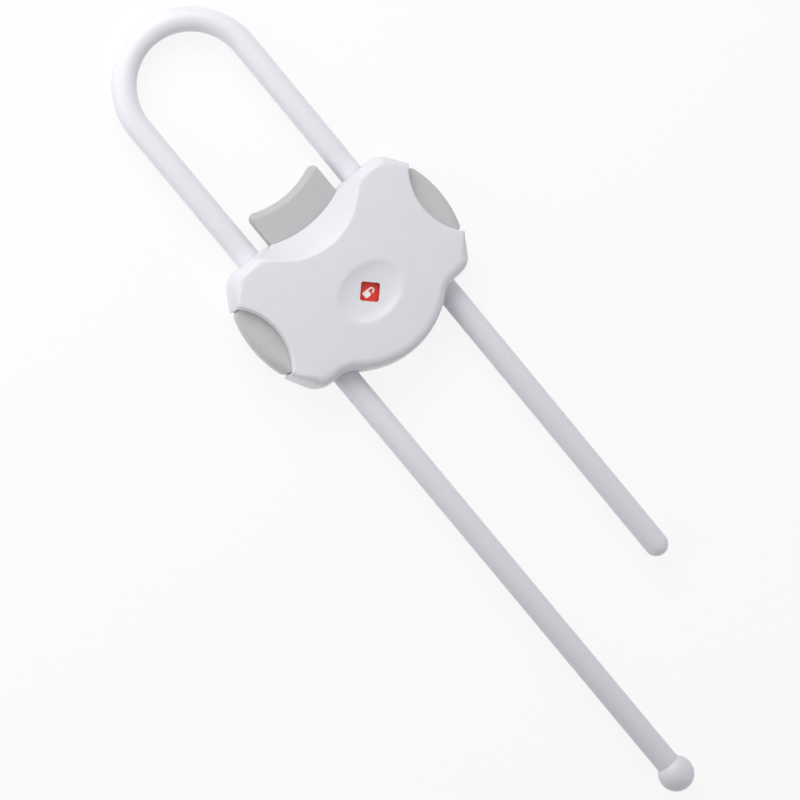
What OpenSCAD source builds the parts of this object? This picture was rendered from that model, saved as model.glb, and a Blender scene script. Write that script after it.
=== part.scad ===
// Cabinet safety lock: a clamping body that slides along the two legs of a U-shaped shackle.
// The back of the body lies on z = 0. +Y points to the loop of the shackle, +X to its short leg,
// and the indicator in the middle of the body is on the Z axis.

/* [Shackle] */
// Diameter of the plastic rod
rod_d = 7; // [6.6:0.1:7.4]
// Distance between the two legs, centre to centre
leg_spacing = 38; // [37:0.5:40]
// Distance from the indicator to the centre of the bend, as the lock is set here
loop_reach = 75; // [60:0.5:110]
// Long leg, from the bend's centre to the ball's centre
long_leg = 237; // [220:0.5:280]
// Short leg, from the bend's centre to its tip
short_leg = 187; // [150:0.5:195]
// Diameter of the stop ball
ball_d = 10.4; // [10:0.1:11]
// Depth of the rod's seat in the stop ball
ball_seat = 4; // [2:0.5:5]

/* [Body outline] */
// From a leg's axis out to the tips of the lobes
lobe_reach = 13; // [12.5:0.1:15]
// Height of the two upper lobes above the indicator
lobe_top = 28.1; // [27:0.1:30]
// Depth below the indicator of the two lower lobes
lobe_drop = 12.8; // [12.5:0.1:14]
// Depth below the indicator of the belly's lowest point
belly_drop = 20.7; // [20.5:0.1:24]
// Radius of the belly
belly_r = 25.6; // [25:0.1:28]
// Middle of the side recesses, above the indicator
recess_mid = 8.1; // [7.5:0.1:8.5]
// Length of a side recess, tip to tip
recess_len = 24.3; // [23.5:0.1:25]
// Depth of a side recess at its middle
recess_depth = 4.9; // [4.5:0.1:5.2]
// Slant of the lobes' outer corners, in from the tips
lobe_slant = 4.6; // [4:0.1:5]
// Length along both edges that rounds a lobe's corner
lobe_round = 3.4; // [3:0.1:4]
// Rounding of the front edge
edge_r = 2.8; // [1.5:0.1:3]
// Share of that rounding along the side recesses
recess_edge_share = 0.3; // [0.2:0.05:1]
// Share of that rounding along the thumb scoop
scoop_edge_share = 0.5; // [0.3:0.05:1]
// Draft of the front cover's walls, over their height
wall_draft = 0.5; // [0:0.1:0.8]
// Rounding of the back edge
back_edge_r = 1; // [0.5:0.1:1.4]

/* [Thumb scoop] */
// Distance of the scoop's foot from the indicator
scoop_foot = 24.9; // [24.5:0.1:26]
// Radius of the scoop's foot
scoop_foot_r = 31; // [28:0.5:36]
// Distance of the scoop's front edge from the indicator
scoop_edge = 18.1; // [17.8:0.1:20]
// Radius of the scoop's front edge
scoop_edge_r = 19.5; // [18:0.5:24]
// Length along both edges that rounds the scoop's corners
scoop_round = 2.6; // [2:0.1:3]

/* [Shell] */
// Thickness of the side walls
wall = 1.8; // [1.4:0.1:2]
// Thickness of the front
roof = 1.8; // [1.5:0.1:2.2]
// Thickness of the back
floor_t = 1.6; // [1.3:0.1:1.7]
// Thickness of the inner ribs
rib = 1.6; // [1.2:0.1:1.8]

/* [Indicator] */
// Length of the oval dish
dish_len = 20.3; // [18:0.1:21]
// Width of the oval dish
dish_wid = 16.3; // [15:0.1:17]
// Depth of the oval dish
dish_depth = 1.3; // [1:0.1:2]
// Thickness left under the dish
dish_floor = 2; // [1.2:0.1:2.4]
// Side of the square window, which stands on a corner
window_side = 5.4; // [5:0.1:5.6]
// Corner radius of the window
window_r = 0.7; // [0.4:0.1:1]
// Width of the window's hidden flange
window_flange = 0.7; // [0.5:0.1:0.9]
// Thickness of the window's hidden flange
window_step = 0.6; // [0.5:0.1:0.7]

/* [Lock tab] */
// Width of the tab
tab_w = 24; // [22:0.5:24.5]
// Thickness of the tab
tab_t = 5; // [4.6:0.1:5.2]
// Depth of the tab's lower face below the rod's axis
tab_drop = 1.2; // [1:0.1:1.4]
// Travel of the tab from open to locked
tab_travel = 10.5; // [10:0.1:11]
// Radius of the tab's hollow thumb end
tab_end_r = 26; // [20:0.5:30]
// Rounding of the tab's tips
tab_tip_r = 2.2; // [1:0.1:2.6]
// Rounding of the thumb end's edges
tab_edge_r = 2.3; // [0.5:0.1:2.3]

/* [Buttons] */
// Stand of the buttons beyond the lobes' tips
button_proud = 2.4; // [1.5:0.1:3]
// Travel of the buttons
button_travel = 2.5; // [2.4:0.1:2.8]
// Radius of the buttons' outer face
button_r = 32; // [26:0.5:40]
// Rounding of the buttons' edges
button_edge_r = 2.6; // [1.5:0.1:3]
// Rounding of the buttons' ends
button_end_r = 1.8; // [1:0.1:2.5]

/* [Clamp] */
// Movement of each jaw from open to locked
jaw_travel = 0.9; // [0.7:0.1:1]
// Length of the jaws along the legs
jaw_len = 9.6; // [9:0.1:10]
// Thickness of the jaw pads at their middle
pad_t = 1.6; // [1.2:0.1:1.8]

/* [Hidden] */
$fn = 64;

// Clearances and overlaps
// Gap between pieces that slide past each other
slide_gap = 0.3;
// Gap round a piece that is seated in another
seat_gap = 0.05;
// Depth to which ribs and bosses run into the walls that carry them
weld = 0.4;
// Length by which a cut runs past the face that it opens
over = 1;
// Points of an outline closer than this are one point
same = 0.01;

// Shackle
rod_r = rod_d / 2;
leg_x = leg_spacing / 2;
rod_z = ball_d / 2;
bore_r = rod_r + slide_gap;

// Heights of the stack inside the body, from the tab up to the front
tab_z0 = rod_z - tab_drop;
tab_z1 = tab_z0 + tab_t;
wing_t = 1.6;
tooth_h = 1.6;
catch_z0 = tab_z1 + slide_gap;
arm_t = 1;
arm_z0 = tab_z1 + tooth_h + 2 * slide_gap;
flag_t = 0.8;
flag_z0 = arm_z0 + seat_gap;
flag_z1 = flag_z0 + flag_t;
label_t = 0.15;
window_z = flag_z1 + label_t + slide_gap;
body_h = window_z + dish_floor + dish_depth;
roof_z = body_h - roof;
part_z = rod_z;
inner_wall = wall + wall_draft;

// Body outline
half_w = leg_x + lobe_reach;
recess_r = (pow(recess_len / 2, 2) + pow(recess_depth, 2)) / (2 * recess_depth);
recess_x = half_w - recess_depth + recess_r;
recess_angle = asin(recess_len / 2 / recess_r);
tip_top = [half_w, recess_mid + recess_len / 2];
tip_low = [half_w, recess_mid - recess_len / 2];
lobe_corner = [half_w - lobe_slant, lobe_top];
drop_corner = [half_w - lobe_slant, -lobe_drop];
belly_y = belly_r - belly_drop;
belly_corner = [sqrt(pow(belly_r, 2) - pow(belly_y + lobe_drop, 2)), -lobe_drop];
belly_turn = 6;
arc_steps = 14;
bend_steps = 5;
edge_steps = 5;

// Screws and their bosses
screw_r = 0.9;
screw_head_r = 1.8;
screw_head_t = 1.4;
screw_slot = 0.5;
screw_grip = 5;
pocket_t = 2.4;
boss_wall = 0.8;
front_boss_wall = 1.1;
boss_r = screw_head_r + slide_gap + boss_wall;
boss_x = leg_x + bore_r + boss_r + slide_gap;
boss_top_y = lobe_top - wall - boss_r + weld;
boss_low_y = wall + boss_r - lobe_drop;
boss_places = [for (sx = [-1, 1], y = [boss_top_y, boss_low_y]) [sx * boss_x, y]];

// Lock slider
tab_end = scoop_foot + tab_travel;
tab_end_y = tab_end + tab_end_r;
tip_rise = 0.15;
tip_y = tab_end_y - sqrt(pow(tab_end_r, 2) - pow(tab_w / 2 - tab_tip_r, 2)) + tip_rise;
cam_y = -1;
cam_x = 9;
cam_peg_r = 1.1;
cam_slot_r = cam_peg_r + slide_gap / 2;
cam_neck_r = cam_slot_r - seat_gap;
cam_rim = 1.1;
wing_w = 2 * (cam_x + jaw_travel + cam_slot_r + cam_rim);
wing_y0 = cam_y - cam_slot_r - cam_rim;
tab_y0 = wing_y0 + tab_travel + wing_t + 2 * cam_rim + cam_slot_r * 2;
tube_r = 3.8;
tube_bore_r = 2.7;
tube_z = tab_z0 + tab_t / 2;
tube_tail = 4;
tube_end_t = 3;
tube_y0 = wing_y0 - tube_tail;
tube_y1 = tab_y0 - tube_end_t;

// Catches on the buttons and their teeth on the slider
tooth_w = 2.2;
tooth_l = 2.4;
tooth_x1 = tab_w / 2 - slide_gap;
tooth_x0 = tooth_x1 - tooth_w;
tooth_y0 = tab_y0 + slide_gap;
hook_l = 2.5;
hook_y0 = tooth_y0 + tooth_l - tab_travel + slide_gap;
hook_y1 = hook_y0 + hook_l;

// Buttons
seat_rib_x = leg_x + bore_r + slide_gap / 2;
seat_rib_t = 0.7;
coil_seat_x = seat_rib_x + seat_rib_t;
button_in = coil_seat_x + slide_gap + button_travel;
button_out = half_w + button_proud;
button_inset = 1;
button_half = recess_len / 2 - button_inset;
button_z0 = floor_t + 3 * slide_gap;
button_lip = 3;
button_z1 = body_h - button_lip - slide_gap;
ear_reach = 0.9;
ear_rim = 1.6;
ear_out = recess_x - sqrt(pow(recess_r + inner_wall, 2) - pow(button_half, 2)) - slide_gap;
foot_t = 0.8;
foot_len = 6;
foot_peg_r = 0.9;
foot_peg_len = 2;
foot_z0 = catch_z0 + slide_gap;
foot_z = arm_z0 - foot_peg_r / 2;
foot_peg_y = (hook_y0 + hook_y1) / 2;

// Flag with its pedestal and labels
flag_peg_y = 5;
flag_peg_r = 1;
flag_peg_len = 1.4;
flag_seat_w = 5;
flag_seat_l = 7;
flag_w = 8.8;
flag_y0 = -4.8;
flag_y1 = tab_travel - flag_y0;
label_w = 8.4;
label_l = 9.6;

// Springs
wire_r = 0.25;
tab_coil_r = 2.1;
tab_coil_turns = 11;
button_coil_r = 1.9;
button_coil_turns = 5;
button_coil_rise = 3.6;
button_coil_z = button_z0 + button_coil_rise;
coil_pocket_r = button_coil_r + wire_r + 2 * slide_gap;
coil_pocket = 5;
belly_in = inner_wall - belly_drop;
spring_stub_r = 1.2;
spring_stub_len = 2.5;
wire_sides = 6;
turn_rings = 10;

// Jaws
jaw_z0 = floor_t + slide_gap;
jaw_z1 = tab_z1 - wing_t - slide_gap;
jaw_y1 = tab_y0 - tab_travel - slide_gap;
jaw_y0 = jaw_y1 - jaw_len;
jaw_x0 = tube_r + slide_gap * 3;
pad_x0 = leg_x - rod_r - slide_gap - jaw_travel - pad_t;
pad_half = 2.6;
guide_h = tab_z0 - slide_gap;
guide_t = 0.8;

// Outline helpers
function mix(a, b, t) = a + (b - a) * t;
function toward(a, b, d) = a + d * (b - a) / norm(b - a);
function arc(c, r, a0, a1, n) =
  [for (i = [0:n]) c + r * [cos(mix(a0, a1, i / n)), sin(mix(a0, a1, i / n))]];
function bend(a, b, c) =
  [for (i = [0:bend_steps]) let (t = i / bend_steps) mix(mix(a, b, t), mix(b, c, t), t)];
function distinct(p) = [for (i = [0:len(p) - 1]) if (i == 0 || norm(p[i] - p[i - 1]) > same) p[i]];

// Radius, centre and half width of the scoop. rise is 0 at its foot and 1 at its front edge.
function scoop_arc_r(rise) = mix(scoop_foot_r, scoop_edge_r, rise);
function scoop_mid(rise) = mix(scoop_foot, scoop_edge, rise) + scoop_arc_r(rise);
function scoop_half(rise) = sqrt(pow(scoop_arc_r(rise), 2) - pow(scoop_mid(rise) - lobe_top, 2));

// Right half of the body's outline, clockwise from the scoop to the belly
function half_outline(rise) =
  let (
    r = scoop_arc_r(rise),
    mid = scoop_mid(rise),
    corner = [scoop_half(rise), lobe_top],
    scoop_end = asin((corner.x - scoop_round) / r),
    scoop = arc([0, mid], r, 270, 270 + scoop_end, arc_steps),
    belly_start = atan2(-lobe_drop - belly_y, belly_corner.x) - belly_turn,
    belly = arc([0, belly_y], belly_r, belly_start, -90, arc_steps)
  )
  distinct(concat(
    scoop,
    bend(scoop[arc_steps], corner, corner + [scoop_round, 0]),
    bend(lobe_corner - [lobe_round, 0], lobe_corner, toward(lobe_corner, tip_top, lobe_round)),
    arc([recess_x, recess_mid], recess_r, 180 - recess_angle, 180 + recess_angle, arc_steps),
    bend(toward(drop_corner, tip_low, lobe_round), drop_corner, drop_corner - [lobe_round, 0]),
    bend(belly_corner + [lobe_round, 0], belly_corner, belly[0]),
    belly
  ));

function outline(rise) =
  let (h = half_outline(rise), n = len(h))
  concat(h, [for (i = [n - 2:-1:1]) [-h[i].x, h[i].y]]);

// The outline moved inwards by d, which is one length or one for each point
function inset(p, d) =
  let (n = len(p))
  [for (i = [0:n - 1])
    let (
      a = p[i] - p[(i + n - 1) % n],
      b = p[(i + 1) % n] - p[i],
      u = [a.y, -a.x] / norm(a),
      v = [b.y, -b.x] / norm(b)
    )
    p[i] + (is_list(d) ? d[i] : d) * (u + v) / (1 + u * v)];

function at_height(p, z) = [for (q = p) [q.x, q.y, z]];
function scoop_rise(z) = min(1, max(0, (z - tab_z1 - slide_gap) / (body_h - tab_z1 - slide_gap)));
function in_recess(q) =
  abs(q.y - recess_mid) < recess_len / 2 + same && abs(q.x) > half_w - recess_depth - same;
// 0 along the scoop, 1 from the lobes on, and between them at the scoop's rounded corners
function past_scoop(q, rise) =
  q.y < recess_mid ? 1 : min(1, max(0, (abs(q.x) - scoop_half(rise) + scoop_round) / (2 * scoop_round)));
function edge_share(q, rise) =
  in_recess(q) ? recess_edge_share : mix(scoop_edge_share, 1, past_scoop(q, rise));
function body_ring(z, d) =
  let (rise = scoop_rise(z), p = outline(rise))
  at_height(inset(p, [for (q = p) d * edge_share(q, rise)]), z);

// Skin over rings of points with equal counts, from the lowest to the highest
module loft(rings) {
  n = len(rings[0]);
  top = len(rings) - 1;
  sides = [for (k = [0:top - 1], i = [0:n - 1])
    let (j = (i + 1) % n)
    each [[k * n + i, k * n + j, (k + 1) * n + j], [k * n + i, (k + 1) * n + j, (k + 1) * n + i]]];
  low_cap = [for (i = [n - 1:-1:0]) i];
  top_cap = [for (i = [0:n - 1]) top * n + i];
  polyhedron([for (r = rings) each r], concat(sides, [low_cap, top_cap]));
}

// Straight-walled inside of the body, within the walls at the height of the front
module cavity(z0, z1) translate([0, 0, z0]) linear_extrude(z1 - z0)
  polygon(inset(outline(scoop_rise(roof_z)), inner_wall));

// Layer that takes in the whole body's outline
module body_slab(z0, z1) box([-half_w - over, -belly_drop - over, z0], [half_w + over, lobe_top + over, z1]);

module along_y(x, z, y0, y1, r) translate([x, y0, z]) rotate([-90, 0, 0]) cylinder(h = y1 - y0, r = r);

module box(low, high) translate(low) cube(high - low);

module both_sides() {
  children();
  mirror([1, 0, 0]) children();
}

// Square on its corner, with rounded corners
module diamond(side, r) rotate(45) {
  square([side, side - 2 * r], center = true);
  square([side - 2 * r, side], center = true);
  for (x = [-1, 1], y = [-1, 1]) translate([x, y] * (side / 2 - r)) circle(r);
}

// Unbroken wire coil along +Z, from z = 0 to z = len
module coil(coil_r, turns, len) {
  rings = turns * turn_rings;
  pitch = (len - 2 * wire_r) / turns;
  points = [for (k = [0:rings], s = [0:wire_sides - 1])
    let (a = 360 * k / turn_rings, b = 360 * s / wire_sides, r = coil_r + wire_r * cos(b))
    [r * cos(a), r * sin(a), wire_r + pitch * k / turn_rings + wire_r * sin(b)]];
  sides = [for (k = [0:rings - 1], s = [0:wire_sides - 1])
    let (p = k * wire_sides + s, q = k * wire_sides + (s + 1) % wire_sides)
    each [[p, q, q + wire_sides], [p, q + wire_sides, p + wire_sides]]];
  first = [for (s = [wire_sides - 1:-1:0]) s];
  last = [for (s = [0:wire_sides - 1]) rings * wire_sides + s];
  polyhedron(points, concat(sides, [first, last]));
}

// Cuts and forms shared by the covers
module leg_bores() both_sides() along_y(leg_x, rod_z, -belly_drop - over, lobe_top + over, bore_r);

module tab_slot() box(
  [-tab_w / 2 - slide_gap, tab_y0, tab_z0 - slide_gap],
  [tab_w / 2 + slide_gap, lobe_top + over, tab_z1 + slide_gap]
);

module button_gates() both_sides() box(
  [button_in - button_travel, recess_mid - button_half - slide_gap, button_z0 - slide_gap],
  [button_out + over, recess_mid + button_half + slide_gap, button_z1 + slide_gap]
);

module leg_saddles(z0, z1) both_sides() for (y = [jaw_y0 - slide_gap - 2 * rib, tab_y0])
  box([tab_w / 2 + 3 * slide_gap, y, z0], [leg_x + bore_r + 2 * slide_gap, y + rib, z1]);

module front_cover() color([0.87, 0.87, 0.89]) difference() {
  union() {
    difference() {
      loft(concat(
        [body_ring(part_z - over, 0), body_ring(tab_z1 + slide_gap, 0)],
        [for (k = [0:edge_steps]) let (a = 90 * k / edge_steps)
          body_ring(body_h - edge_r + edge_r * sin(a), wall_draft + edge_r * (1 - cos(a)))],
        [body_ring(body_h + over, wall_draft + edge_r)]
      ));
      body_slab(part_z - 2 * over, part_z);
      body_slab(body_h, body_h + 2 * over);
      cavity(part_z - over, roof_z);
    }
    translate([0, 0, window_z]) cylinder(h = roof_z - window_z + weld, r = dish_len / 2 + rib / 2);
    for (p = boss_places) translate([p.x, p.y, part_z])
      cylinder(h = roof_z - part_z + weld, r = screw_r + front_boss_wall);
    leg_saddles(part_z, roof_z + weld);
    along_y(0, tube_z, belly_in - weld, belly_in + spring_stub_len, spring_stub_r);
  }
  dish();
  translate([0, 0, window_z - over]) linear_extrude(over + window_step)
    diamond(window_side + 2 * (window_flange + seat_gap), window_r);
  translate([0, 0, window_z]) linear_extrude(dish_floor + dish_depth + over)
    diamond(window_side, window_r);
  leg_bores();
  tab_slot();
  button_gates();
  for (p = boss_places) translate([p.x, p.y, part_z - over])
    cylinder(h = over + screw_grip, r = screw_r + seat_gap);
}

// Oval dish: a wide arc along X and a tighter one along Y
module dish() {
  long_r = (pow(dish_len / 2, 2) + pow(dish_depth, 2)) / (2 * dish_depth);
  short_r = (pow(dish_wid / 2, 2) + pow(dish_depth, 2)) / (2 * dish_depth);
  translate([0, 0, body_h - dish_depth + long_r]) rotate([90, 0, 0]) rotate_extrude() intersection() {
    translate([long_r - short_r, 0]) circle(short_r);
    translate([0, -short_r]) square([long_r, 2 * short_r]);
  }
}

module back_cover() color([0.85, 0.85, 0.87]) difference() {
  union() {
    difference() {
      loft([for (k = [0:edge_steps]) let (a = 90 * k / edge_steps)
        body_ring(k == edge_steps ? part_z + over : back_edge_r * (1 - cos(a)), back_edge_r * (1 - sin(a)))]);
      body_slab(part_z, part_z + 2 * over);
      cavity(floor_t, part_z + over);
    }
    for (p = boss_places) translate([p.x, p.y, floor_t - weld])
      cylinder(h = part_z - floor_t + weld, r = boss_r);
    leg_saddles(floor_t - weld, part_z);
    tube_rail();
    jaw_guides();
    both_sides() box(
      [seat_rib_x, recess_mid - coil_pocket_r, floor_t - weld],
      [coil_seat_x, recess_mid + coil_pocket_r, catch_z0 - slide_gap]
    );
  }
  leg_bores();
  tab_slot();
  button_gates();
  for (p = boss_places) translate([p.x, p.y, -over]) {
    cylinder(h = over + part_z + over, r = screw_r + slide_gap);
    cylinder(h = over + pocket_t, r = screw_head_r + slide_gap);
  }
}

module tube_rail() box(
  [-rib / 2, tube_y0 - tab_travel + slide_gap, floor_t - weld],
  [rib / 2, tube_y1, tube_z - tube_r - slide_gap]
);

module jaw_guides() both_sides() for (y = [jaw_y0 - slide_gap - guide_t, jaw_y1 + slide_gap])
  box([jaw_x0, y, floor_t - weld], [pad_x0, y + guide_t, guide_h]);

module cover_screws() color("silver") for (p = boss_places) translate([p.x, p.y, pocket_t - screw_head_t]) {
  difference() {
    cylinder(h = screw_head_t, r = screw_head_r);
    for (a = [0, 90]) rotate(a)
      cube([2 * screw_head_r - 2 * screw_slot, screw_slot, screw_head_t], center = true);
  }
  cylinder(h = screw_head_t + part_z - pocket_t + screw_grip - slide_gap, r = screw_r);
}

module indicator_window() color([0.85, 0.9, 0.95, 0.35]) {
  translate([0, 0, window_z + seat_gap]) linear_extrude(window_step - seat_gap)
    diamond(window_side + 2 * window_flange, window_r);
  translate([0, 0, window_z + seat_gap]) linear_extrude(dish_floor - 3 * seat_gap)
    diamond(window_side - 2 * seat_gap, window_r);
}

module shackle() color([0.88, 0.88, 0.9]) {
  translate([0, loop_reach, rod_z]) rotate_extrude(angle = 180) translate([leg_x, 0]) circle(rod_r);
  along_y(-leg_x, rod_z, loop_reach - long_leg + ball_d / 2 - ball_seat, loop_reach, rod_r);
  along_y(leg_x, rod_z, loop_reach - short_leg + rod_r, loop_reach, rod_r);
  translate([leg_x, loop_reach - short_leg + rod_r, rod_z]) sphere(rod_r);
}

module stop_ball() color([0.85, 0.85, 0.88]) difference() {
  translate([-leg_x, loop_reach - long_leg, rod_z]) rotate([-90, 0, 0]) sphere(ball_d / 2);
  along_y(-leg_x, rod_z, loop_reach - long_leg + ball_d / 2 - ball_seat - seat_gap,
    loop_reach - long_leg + ball_d, rod_r + seat_gap);
}

// Plan of the tab up to its tips, before its end is hollowed
module tab_plan() {
  half = concat(
    [[tab_w / 2, tab_y0]],
    bend([tab_w / 2, tip_y - tab_tip_r], [tab_w / 2, tip_y], [tab_w / 2 - tab_tip_r, tip_y])
  );
  polygon(concat(half, [for (i = [len(half) - 1:-1:0]) [-half[i].x, half[i].y]]));
}

// Ring round the thumb: the tab's end is where it meets this rounded inner edge
module thumb_ring() rotate_extrude() {
  reach = tab_end_y - tab_y0 + over;
  translate([tab_end_r + tab_edge_r, tab_z0]) square([reach - tab_end_r - tab_edge_r, tab_t]);
  translate([tab_end_r, tab_z0 + tab_edge_r]) square([reach - tab_end_r, tab_t - 2 * tab_edge_r]);
  for (z = [tab_z0 + tab_edge_r, tab_z1 - tab_edge_r])
    translate([tab_end_r + tab_edge_r, z]) circle(tab_edge_r);
}

module cam_slot() {
  a = [cam_x, cam_y];
  b = [cam_x + jaw_travel, cam_y + tab_travel];
  translate(a) circle(cam_slot_r);
  translate(b) circle(cam_slot_r);
  translate(a) rotate(atan2(b.y - a.y, b.x - a.x)) translate([0, -cam_neck_r])
    square([norm(b - a), 2 * cam_neck_r]);
}

module lock_slider() color([0.73, 0.74, 0.73]) difference() {
  union() {
    intersection() {
      translate([0, 0, tab_z0]) linear_extrude(tab_t) tab_plan();
      translate([0, tab_end_y, 0]) thumb_ring();
    }
    translate([0, 0, tab_z1 - wing_t]) linear_extrude(wing_t) difference() {
      translate([-wing_w / 2, wing_y0]) square([wing_w, tab_y0 - wing_y0 + weld]);
      both_sides() cam_slot();
    }
    along_y(0, tube_z, tube_y0, tab_y0 + weld, tube_r);
    flag_seat();
    both_sides() catch_tooth();
  }
  along_y(0, tube_z, tube_y0 - over, tube_y1, tube_bore_r);
  translate([0, flag_peg_y, flag_z0 - flag_peg_len - seat_gap])
    cylinder(h = flag_peg_len + over, r = flag_peg_r + seat_gap);
}

// Pedestal that carries the flag above the wing
module flag_seat() box(
  [-flag_seat_w / 2, flag_peg_y - flag_seat_l / 2, tab_z1 - weld],
  [flag_seat_w / 2, flag_peg_y + flag_seat_l / 2, flag_z0]
);

// Ratchet tooth with a ramp towards the catch
module catch_tooth() translate([tooth_x0, 0, 0]) rotate([90, 0, 90]) linear_extrude(tooth_w)
  polygon([
    [tooth_y0 - tooth_l / 2, tab_z1 - weld],
    [tooth_y0, tab_z1],
    [tooth_y0 + tooth_l - wing_t / 2, tab_z1 + tooth_h],
    [tooth_y0 + tooth_l, tab_z1 + tooth_h],
    [tooth_y0 + tooth_l, tab_z1 - weld]
  ]);

module indicator_flag() color([0.9, 0.9, 0.9]) {
  box([-flag_w / 2, flag_y0, flag_z0], [flag_w / 2, flag_y1, flag_z1]);
  translate([0, flag_peg_y, flag_z0 - flag_peg_len]) cylinder(h = flag_peg_len + flag_t / 2, r = flag_peg_r);
}

module label(y) box(
  [-label_w / 2, y - label_l / 2, flag_z1],
  [label_w / 2, y + label_l / 2, flag_z1 + label_t]
);

module unlocked_label() color([0.8, 0.17, 0.12]) label(0);

module locked_label() color([0.15, 0.6, 0.25]) label(tab_travel);

module tab_spring() color("silver") translate([0, belly_in + slide_gap, tube_z]) rotate([-90, 0, 0])
  coil(tab_coil_r, tab_coil_turns, tube_y1 - belly_in - 2 * slide_gap);

// Button for the right side: a barrel-shaped pad with ears that stop behind the lobes
module button() difference() {
  union() {
    intersection() {
      translate([button_out - button_r, recess_mid, 0]) rotate_extrude() button_profile();
      translate([0, recess_mid, 0]) linear_extrude(body_h) button_plan();
    }
    box(
      [button_in, recess_mid - button_half - ear_reach, button_z0 + ear_rim],
      [ear_out, recess_mid + button_half + ear_reach, button_z1 - ear_rim]
    );
  }
  translate([button_in - over, recess_mid, button_coil_z]) rotate([0, 90, 0])
    cylinder(h = over + coil_pocket, r = coil_pocket_r);
  translate([button_in - over, foot_peg_y, foot_z]) rotate([0, 90, 0])
    cylinder(h = over + foot_peg_len + seat_gap, r = foot_peg_r + seat_gap);
}

// Plan of the button with rounded ends, and room for its outer face
module button_plan() {
  end_y = button_half - button_end_r;
  end_x = button_out - button_r + sqrt(pow(button_r, 2) - pow(end_y, 2));
  corner = [button_out - button_r + sqrt(pow(button_r, 2) - pow(button_half, 2)), button_half];
  half = concat(
    [[button_out + over, end_y]],
    bend([end_x, end_y], corner, corner - [button_end_r, 0]),
    [[button_in, button_half]]
  );
  polygon(concat(half, [for (i = [len(half) - 1:-1:0]) [half[i].x, -half[i].y]]));
}

module button_profile() {
  h = button_z1 - button_z0;
  translate([0, button_z0]) square([button_r - button_edge_r, h]);
  translate([0, button_z0 + button_edge_r]) square([button_r, h - 2 * button_edge_r]);
  for (z = [button_z0 + button_edge_r, button_z1 - button_edge_r])
    translate([button_r - button_edge_r, z]) circle(button_edge_r);
}

// Catch for the right side: a foot on the button, a leaf over the leg and a hook at its end
module catch() {
  box(
    [button_in - foot_t, foot_peg_y - foot_len / 2, foot_z0],
    [button_in, foot_peg_y + foot_len / 2, arm_z0 + arm_t]
  );
  box([tooth_x0, hook_y0, arm_z0], [button_in - foot_t / 2, hook_y1, arm_z0 + arm_t]);
  box([tooth_x0, hook_y0, catch_z0], [tooth_x1, hook_y1, arm_z0 + arm_t / 2]);
  translate([button_in - foot_t / 2, foot_peg_y, foot_z]) rotate([0, 90, 0])
    cylinder(h = foot_t / 2 + foot_peg_len, r = foot_peg_r);
}

module button_spring() translate([coil_seat_x + slide_gap / 2, recess_mid, button_coil_z]) rotate([0, 90, 0])
  coil(button_coil_r, button_coil_turns, button_in + coil_pocket - coil_seat_x - slide_gap);

module left_button() color([0.71, 0.72, 0.71]) mirror([1, 0, 0]) button();
module right_button() color([0.75, 0.76, 0.75]) button();
module left_catch() color([0.6, 0.6, 0.6]) mirror([1, 0, 0]) catch();
module right_catch() color([0.6, 0.6, 0.6]) catch();
module left_button_spring() color("silver") mirror([1, 0, 0]) button_spring();
module right_button_spring() color("silver") button_spring();

// Jaw for the right side, with the peg that runs in the slider's cam slot
module jaw() {
  box([jaw_x0, jaw_y0, jaw_z0], [pad_x0, jaw_y1, jaw_z1]);
  translate([cam_x, cam_y, jaw_z1 - weld]) cylinder(h = weld + wing_t + slide_gap / 2, r = cam_peg_r);
}

// Rubber pad, hollowed to the rod's curve
module jaw_pad() difference() {
  box(
    [pad_x0, jaw_y0, rod_z - pad_half],
    [leg_x - jaw_travel, jaw_y1, rod_z + pad_half]
  );
  along_y(leg_x - jaw_travel, rod_z, jaw_y0 - over, jaw_y1 + over, rod_r + slide_gap);
  box(
    [leg_x - jaw_travel - pad_half, jaw_y0 - over, rod_z - pad_half - over],
    [leg_x + over, jaw_y1 + over, rod_z + pad_half + over]
  );
}

module left_jaw() color([0.55, 0.56, 0.58]) mirror([1, 0, 0]) jaw();
module right_jaw() color([0.55, 0.56, 0.58]) jaw();
module left_jaw_pad() color([0.2, 0.2, 0.2]) mirror([1, 0, 0]) jaw_pad();
module right_jaw_pad() color([0.2, 0.2, 0.2]) jaw_pad();

front_cover();
back_cover();
cover_screws();
indicator_window();
shackle();
stop_ball();
lock_slider();
indicator_flag();
unlocked_label();
locked_label();
tab_spring();
left_button();
right_button();
left_catch();
right_catch();
left_button_spring();
right_button_spring();
left_jaw();
right_jaw();
left_jaw_pad();
right_jaw_pad();
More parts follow.
